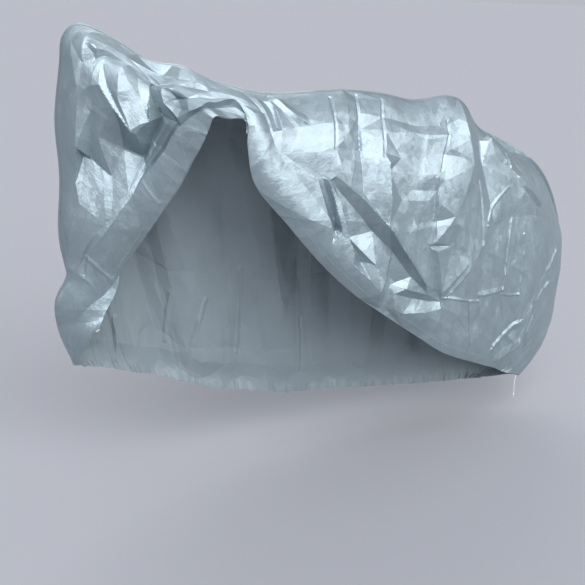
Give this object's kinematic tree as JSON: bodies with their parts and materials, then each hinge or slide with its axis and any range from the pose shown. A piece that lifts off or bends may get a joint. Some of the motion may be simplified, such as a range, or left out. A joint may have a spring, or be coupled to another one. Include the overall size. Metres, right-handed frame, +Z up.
{
  "type": "bicycle cover",
  "caption": "Fitted bicycle cover of crinkled silver film, draped as over a bicycle, its near side pulled up into a tall opening.",
  "frame": {"origin": "under the top of the cover, where the saddle of the bicycle carries it", "axes": "+X towards the rear of the bicycle, +Y towards its far side, +Z up"},
  "size_m": [1.4978, 0.3908, 1.0456],
  "materials": {
    "silver_film": "metallised film, soft sheen, creased",
    "white_cord": "thin braided cord"
  },
  "bodies": {
    "root": {"near_panel": "silver_film", "far_panel": "silver_film", "drawcord": "white_cord"}
  },
  "joints": []
}
